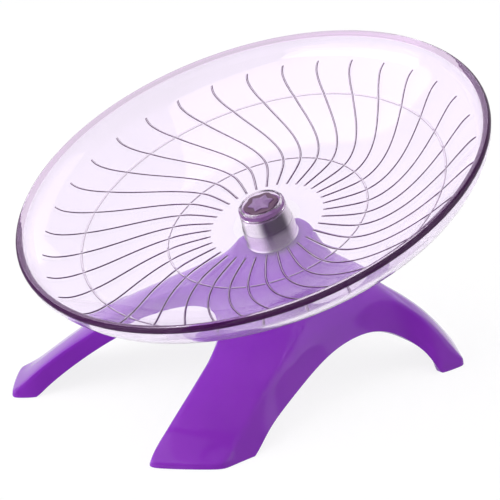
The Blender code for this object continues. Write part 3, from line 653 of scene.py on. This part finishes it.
def running_radii():
    """Radii of the rings of points from the hub to the ribs' tips, closer where the relief changes."""
    round_end = 2 * RIB_HALF
    radii = {LEAD_RADIUS, RIB_START, RIB_END}
    radii |= {RIB_START + round_end * share for share in ROUND_END_SHARES}
    radii |= {RIB_END - round_end * share for share in ROUND_END_SHARES}
    for middle in LINE_RADII:
        radii |= {middle + RING_HALF * share for share in RING_SHARES}
    spans = (
        (RIB_START + round_end, FLAT_RADIUS - RING_HALF, INNER_STEPS),
        (FLAT_RADIUS + RING_HALF, RING_RADIUS - RING_HALF, MIDDLE_STEPS),
        (RING_RADIUS + RING_HALF, RIB_END - round_end, OUTER_STEPS),
    )
    for start, end, steps in spans:
        radii |= {start + (end - start) * i / steps for i in range(1, steps)}
    return sorted(radii)


def ring_points(radius, base, rib=0.0, line=0.0):
    """One ring of the saucer's points, lifted by a share of a rib's height and of a ring line's."""
    scale = max(radius, RIB_START)
    clear = RIB_HALF + RING_GAP
    stops = [(-clear - RING_GAP, line), (-clear, 0.0)]
    stops += [(offset * RIB_HALF, rib * height) for offset, height in ACROSS]
    stops += [(clear, 0.0), (clear + RING_GAP, line)]
    start, end = stops[-1][0] / scale, RIB_PITCH + stops[0][0] / scale
    between = [start + (end - start) * i / COLUMNS_BETWEEN for i in range(1, COLUMNS_BETWEEN)]
    points = []
    for k in range(RIB_COUNT):
        centre = RIB_PHASE + k * RIB_PITCH + swirl(radius)
        points += [on_circle(radius, centre + offset / scale, base + RIB_HEIGHT * lift)
                   for offset, lift in stops]
        points += [on_circle(radius, centre + turn, base + RIB_HEIGHT * line) for turn in between]
    return points


def running_slot(column, radius):
    """The plastic of a face of the running surface, by its column in a rib's pitch and its middle radius."""
    # Rib crests and ring-line middles get a painted highlight, rib flanks and ring-line edges painted shade.
    if column in RIB_COLUMNS:
        return PAINTED_HIGHLIGHT if column in PAINTED_HIGHLIGHT_COLUMNS else PAINTED_SHADE_FLANK
    away = min(abs(radius - middle) for middle in LINE_RADII) / RING_HALF
    if column in GAP_COLUMNS or away >= 1:
        return BOWL
    return RING_EDGE_PAINTED_SHADE if away > RING_MIDDLE_SHARE else PAINTED_HIGHLIGHT


def boss_radius(z):
    """The clear boss's outside: it widens a little from the shoulder down to its foot."""
    if z >= 0:
        return BOSS_BASE_RADIUS + (BOSS_SHOULDER - BOSS_BASE_RADIUS) * z / (BOSS_TOP - SHOULDER_DROP)
    return BOSS_BASE_RADIUS + (BOSS_FOOT_RADIUS - BOSS_BASE_RADIUS) * (z / SKIRT_DEPTH) ** 2


def boss_outline():
    """From the saucer's underside down the skirt, up the bore, over the top and down to its floor."""
    low = -SAUCER_WALL - BOSS_FILLET
    foot = (BOSS_FOOT_RADIUS - BOSS_FOOT_ROUND, -SKIRT_DEPTH + BOSS_FOOT_ROUND)
    top = (BOSS_TOP_RADIUS - BOSS_TOP_ROUND, BOSS_TOP - BOSS_TOP_ROUND)
    points = arc((boss_radius(low) + BOSS_FILLET, low), BOSS_FILLET, start=90, end=180, steps=4)
    points += [(boss_radius(z), z) for z in SKIRT_HEIGHTS]
    points += arc(foot, BOSS_FOOT_ROUND, start=0, end=-90, steps=2)
    points += [(boss_radius(z) - SLEEVE_COVER, z) for z in (*reversed(SLEEVE_HEIGHTS), SLEEVE_TOP)]
    points += [(BOSS_BORE, SLEEVE_TOP), (BOSS_BORE, BOSS_TOP)]
    points += arc(top, BOSS_TOP_ROUND, start=90, end=20, steps=3)
    points += [(BOSS_SHOULDER - SHOULDER_EDGE_INSET, BOSS_TOP - SHOULDER_EDGE_DROP)]
    points += [(BOSS_SHOULDER, BOSS_TOP - SHOULDER_DROP)]
    points += [(boss_radius(z), z) for z in BOSS_HEIGHTS]
    fillet = (boss_radius(BOSS_FILLET) + BOSS_FILLET, BOSS_FILLET)
    points += arc(fillet, BOSS_FILLET, start=180, end=270, steps=4)
    return points


def plain_outline():
    """The saucer's section past the ribs: each point, and the plastic from it to the next one."""
    lip_centre = (CURVE_RADIUS, bowl_height(CURVE_RADIUS))
    lip = arc(lip_centre, LIP_RADIUS, LIP_START, LIP_STOP, len(LIP_SLOTS) - 1)
    outline = [((radius, bowl_height(radius)), BOWL) for radius in RIM_RADII]
    outline += zip(lip, LIP_SLOTS)
    outline += [(underside_point(radius), BOWL) for radius in UNDERSIDE_RADII]
    outline += [(point, BOSS) for point in boss_outline()]
    outline += [((radius, 0.0), BOWL) for radius in FLOOR_RADII]
    return outline


def make_saucer(plastics):
    """The clear dish: swirl ribs and broken ring lines inside, a rolled lip, and a hub boss."""
    radii = running_radii()
    rings = [ring_points(r, bowl_height(r), rib_profile(r), ring_profile(r)) for r in radii]
    slots = [None] * (len(radii) - 1) + [BOWL]
    for (radius, z), slot in plain_outline():
        rings.append(ring_points(radius, z))
        slots.append(slot)
    bm = bmesh.new()
    loops = [[bm.verts.new(point) for point in ring] for ring in rings]
    columns = len(rings[0]) // RIB_COUNT
    for k, (first, second) in enumerate(zip(loops, loops[1:] + loops[:1])):
        for i, face in enumerate(skin(bm, first, second)):
            if slots[k] is None:
                face.material_index = running_slot(i % columns, (radii[k] + radii[k + 1]) / 2)
            else:
                face.material_index = slots[k]
    make_piece("clear_dish", bm, TO_AXIS, "wheel", "saucer", "clear_saucer", *plastics,
               sharp_angle=SAUCER_SHARP_ANGLE)


def make_sleeve(silver):
    """The metal sleeve with its chamfered top, and the round-edged flange under the boss."""
    inset = SLEEVE_COVER - REACH
    top = SLEEVE_TOP - HUB_GAP
    flange = (FLANGE_RADIUS - FLANGE_ROUND, -SKIRT_DEPTH - HUB_GAP - FLANGE_ROUND)
    profile = [(SLEEVE_BORE, top), (boss_radius(SLEEVE_TOP) - inset - SLEEVE_CHAMFER, top)]
    profile += [(boss_radius(z) - inset, z) for z in (top - SLEEVE_CHAMFER, SLEEVE_MIDDLE, *SLEEVE_HEIGHTS)]
    profile += arc(flange, FLANGE_ROUND, start=90, end=-90, steps=6)
    profile += [(SLEEVE_BORE, flange[1] - FLANGE_ROUND)]
    turned_piece("flanged_sleeve", profile, SLEEVE_POINTS, "wheel", "bearing_sleeve", "silver_sleeve",
                 silver)


def lobed_points(inset, z):
    """One ring of the cap's lobed edge, this far in from it."""
    points = []
    for i in range(CAP_POINTS):
        angle = 2 * math.pi * i / CAP_POINTS
        lobe = CAP_LOBE * (1 - math.cos(LOBES * (angle - STAR_TURN))) / 2
        points.append(on_circle(CAP_RADIUS - inset - lobe, angle, z))
    return points


def make_cap(face_painted_shade, skirt_plastic):
    """The cap: a lobed face with rounded edges, and a round skirt that fills the boss's bore."""
    rings = [plain_points(BOSS_BORE + REACH, z, CAP_POINTS)
             for z in (SLEEVE_TOP + CAP_LIFT, CAP_FACE - CAP_SHOULDER_DROP)]
    skirt_rings = len(rings)
    rings += [lobed_points(inset, CAP_FACE - drop) for inset, drop in CAP_RINGS]
    bm = bmesh.new()
    loops = [[bm.verts.new(point) for point in ring] for ring in rings]
    for k, (first, second) in enumerate(zip(loops, loops[1:])):
        for face in skin(bm, first, second):
            # The face takes the first material, which carries painted shade.
            face.material_index = 1 if k < skirt_rings else 0
    bm.faces.new(loops[0])
    bm.faces.new(loops[-1])
    make_piece("lobed_cap", bm, TO_AXIS, "wheel", "hub_cap", "purple_cap", face_painted_shade, skirt_plastic)


def make_star(plastic):
    """The raised star on the cap, with a tip at the middle of each lobe."""
    outline = []
    for i in range(2 * LOBES):
        radius = STAR_RADIUS if i % 2 == 0 else STAR_NOTCH
        outline.append(on_circle(radius, STAR_TURN + math.pi * i / LOBES, 0.0))
    bm = bmesh.new()
    layers = [[bm.verts.new((x * share, y * share, CAP_FACE + rise)) for x, y, z in outline]
              for share, rise in STAR_LAYERS]
    for first, second in zip(layers, layers[1:]):
        skin(bm, first, second)
    bm.faces.new(layers[0])
    bm.faces.new(layers[-1])
    make_piece("faceted_star", bm, TO_AXIS, "wheel", "hub_cap", "purple_cap", plastic, sharp_angle=None)


def stand_point(shares):
    """A station's point. A foot goes a little below the ground, where it is cut level later."""
    point = Vector(shares) * STAND_REACH
    if shares[2] == 0:
        point.z = -EMBED
    point.y += STAND_SETBACK
    return point


def leg_tops(bm, high):
    """Roofs the two legs from toe to neck. Gives the dome's edge, from front to back across both necks."""
    necks = []
    for toe, pairs in LEG_STATIONS:
        across = [high[i] for i in toe]
        for first, second in pairs:
            middle = bm.verts.new((high[first].co + high[second].co) / 2 + Vector((0, 0, LEG_BULGE)))
            row = [high[first], middle, high[second]]
            bm.faces.new((across[0], across[1], row[1], row[0]))
            bm.faces.new((across[1], across[2], row[2], row[1]))
            across = row
        necks.append(across)
    front, back = necks
    dome = high[:high.index(front[0])] + front
    dome += high[high.index(front[2]) + 1:high.index(back[2])] + back[::-1]
    dome += high[high.index(back[0]) + 1:]
    return dome


def pedestal(bm, dome):
    """The dome, the pedestal and its top face, round half of the post's bore. Gives the top face's edge."""
    normal = (TO_AXIS.to_3x3() @ Vector((0, 0, 1))).normalized()
    centre = TO_AXIS @ Vector((0, 0, -PLATEAU_DROP))
    count = len(dome) - 1
    bore, plateau, root, slope = [], [], [], []
    for i, edge in enumerate(dome):
        turn = math.pi * i / count - math.pi / 2
        plan = Vector((math.cos(turn), math.sin(turn), 0.0))
        if 0 < i < count:
            aim = Vector((edge.co.x - centre.x, edge.co.y - centre.y, 0.0)).normalized()
            plan = (plan + aim).normalized()
        else:
            plan.x = 0.0
        on_plane = (plan - normal * plan.dot(normal)).normalized()
        bore.append(bm.verts.new(centre + on_plane * POST_BORE))
        plateau.append(bm.verts.new(centre + on_plane * PLATEAU_RADIUS))
        foot = centre + plan * (PLATEAU_RADIUS + PEDESTAL_FLARE)
        foot.z = PEDESTAL_ROOT_HEIGHT + PEDESTAL_ROOT_SLOPE * (foot.y - centre.y)
        root.append(bm.verts.new(foot))
        slope.append(bm.verts.new((foot + edge.co) / 2 + Vector((0, 0, LEG_BULGE))))
    for inner, outer in ((root, slope), (slope, dome), (plateau, root), (bore, plateau)):
        for i in range(count):
            bm.faces.new((inner[i], outer[i], outer[i + 1], inner[i + 1]))
    return plateau


def sharpen_edges(bm, low, high, plateau):
    """Marks the cage's edges that stay sharper: round the plateau, along legs and dome, and at the toes."""
    sharpness = bm.edges.layers.float.new("crease_edge")
    for first, second in zip(plateau, plateau[1:]):
        bm.edges.get((first, second))[sharpness] = PLATEAU_SHARPNESS
    on_legs = set()
    for toe, pairs in LEG_STATIONS:
        stations = set(toe).union(*pairs)
        on_legs |= {(i, i + 1) for i in stations if i + 1 in stations}
        for corner in (toe[0], toe[-1]):
            bm.edges.get((low[corner], high[corner]))[sharpness] = TOE_SHARPNESS
    for i in range(len(high) - 1):
        edge = bm.edges.get((high[i], high[i + 1]))
        edge[sharpness] = LEG_SHARPNESS if (i, i + 1) in on_legs else DOME_SHARPNESS


def stand_cage():
    """The rough half of the stand on the +X side: wall, tops of two legs, dome, pedestal and top face."""
    bm = bmesh.new()
    low = [bm.verts.new(stand_point(lower)) for lower, upper in STATION_SHARES]
    high = [bm.verts.new(stand_point(upper)) for lower, upper in STATION_SHARES]
    for i in range(len(low) - 1):
        bm.faces.new((low[i], low[i + 1], high[i + 1], high[i]))
    plateau = pedestal(bm, leg_tops(bm, high))
    sharpen_edges(bm, low, high, plateau)
    bmesh.ops.recalc_face_normals(bm, faces=bm.faces)
    bm.faces.ensure_lookup_table()
    if bm.faces[-1].normal.z < 0:
        bmesh.ops.reverse_faces(bm, faces=bm.faces)
    return bm


def smoothed_stand():
    """The cage mirrored, smoothed and given its wall."""
    mesh = bpy.data.meshes.new("stand_cage")
    cage = stand_cage()
    cage.to_mesh(mesh)
    cage.free()
    rough = bpy.data.objects.new("stand_cage", mesh)
    bpy.context.scene.collection.objects.link(rough)
    mirror = rough.modifiers.new("other_half", "MIRROR")
    mirror.use_clip = True
    mirror.merge_threshold = 0.00001
    smooth = rough.modifiers.new("smooth", "SUBSURF")
    smooth.levels = SMOOTHINGS
    wall = rough.modifiers.new("wall", "SOLIDIFY")
    wall.thickness = STAND_WALL
    wall.offset = -1.0
    wall.use_even_offset = True
    bpy.context.view_layer.update()
    built = bpy.data.meshes.new_from_object(rough.evaluated_get(bpy.context.evaluated_depsgraph_get()))
    bpy.data.objects.remove(rough, do_unlink=True)
    return built


def make_stand(purple):
    """The hollow stand, with its feet cut level and closed at the ground."""
    bm = bmesh.new()
    bm.from_mesh(smoothed_stand())
    everything = bm.verts[:] + bm.edges[:] + bm.faces[:]
    cut = bmesh.ops.bisect_plane(bm, geom=everything, plane_co=(0, 0, 0), plane_no=(0, 0, 1),
                                 clear_inner=True)
    edges = [item for item in cut["geom_cut"] if isinstance(item, bmesh.types.BMEdge)]
    bmesh.ops.triangle_fill(bm, edges=edges, use_beauty=True)
    make_piece("moulded_stand", bm, Matrix(), "base", "stand", "purple_stand", purple)


def make_post_boss(purple):
    """The boss under the plateau that holds the post."""
    top = -PLATEAU_DROP - POST_BOSS_SINK
    foot = -PLATEAU_DROP - POST_BOSS_LENGTH
    profile = [(POST_BORE, top), (POST_BOSS_RADIUS, top), (POST_BOSS_RADIUS, foot + POST_BOSS_CHAMFER),
               (POST_BOSS_RADIUS - POST_BOSS_CHAMFER, foot), (POST_BORE, foot)]
    turned_piece("post_boss", profile, POST_BOSS_POINTS, "base", "stand", "purple_stand", purple)


def dress_frame(looks, other):
    """Gives each node of the frame its material, and soft shading but for its sharp edges."""
    for name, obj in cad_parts.items():
        obj.data.materials.clear()
        obj.data.materials.append(looks.get(name, other))
        obj.data.shade_smooth()
        obj.data.set_sharp_from_angle(angle=SHARP_ANGLE)


def main():
    camera_from_photo()
    studio()
    purple = purple_plastic()
    silver = sleeve_metal_painted_reflections()
    steel = turned_metal("steel", (0.58, 0.58, 0.60), low=0.12, high=0.25)
    brass = turned_metal("brass", (0.62, 0.46, 0.20), low=0.25, high=0.40)
    # The cap's face is a darker copy of its purple: painted shade for the recess round the star.
    cap = cap_plastic("cap_plastic", (0.11, 0.036, 0.10))
    looks = {"stand": purple, "hub_cap": cap, "bearing_sleeve": silver}
    looks |= {"lower_cage": brass, "upper_cage": brass}
    dress_frame(looks, steel)
    make_saucer([saucer_plastic(*values) for values in SAUCER_PLASTICS])
    make_sleeve(silver)
    make_cap(cap, cap_plastic("skirt_plastic", (0.26, 0.10, 0.32)))
    make_star(star_plastic())
    make_stand(purple)
    make_post_boss(purple)


main()
